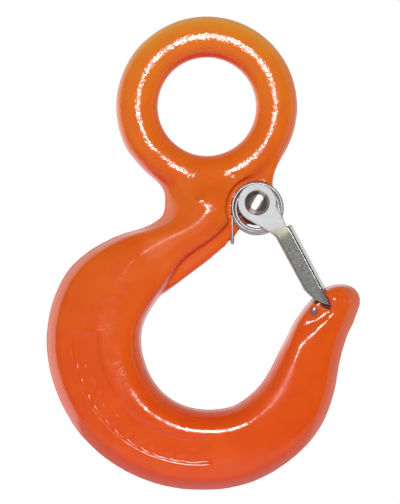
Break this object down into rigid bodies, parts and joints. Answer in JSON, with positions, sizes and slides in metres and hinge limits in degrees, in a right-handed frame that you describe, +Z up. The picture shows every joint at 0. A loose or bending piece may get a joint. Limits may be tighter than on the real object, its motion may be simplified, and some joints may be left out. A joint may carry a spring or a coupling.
{
  "type": "eye hook with latch",
  "caption": "Forged lifting hook with a round eye and a deep bowl; a sprung sheet-metal latch on a riveted pivot closes the throat against the tip",
  "frame": {"origin": "centre of the eye", "axes": "+Z up the load line, +Y along the bore of the eye, +X toward the tip of the hook"},
  "size_m": [0.09, 0.0196, 0.1353],
  "materials": {
    "orange_paint": "thick gloss orange enamel over forged steel",
    "zinc_plate": "bright zinc plate, lightly scuffed",
    "rivet_steel": "worn bare steel",
    "spring_wire": "bright drawn wire"
  },
  "bodies": {
    "hook": {"hook_forging": "orange_paint", "pivot_rivet": "rivet_steel", "latch_spring": "spring_wire"},
    "latch": {"latch": "zinc_plate"}
  },
  "joints": [
    {"name": "latch_hinge", "type": "hinge", "parent": "hook", "child": "latch", "pos_m": [0.0143, 0, -0.0275], "axis": [0, 1, 0], "range_deg": [0, 72], "stiffness_Nm_per_rad": 0.05, "springref_deg": -85.94, "deforming": ["latch_spring"]}
  ]
}
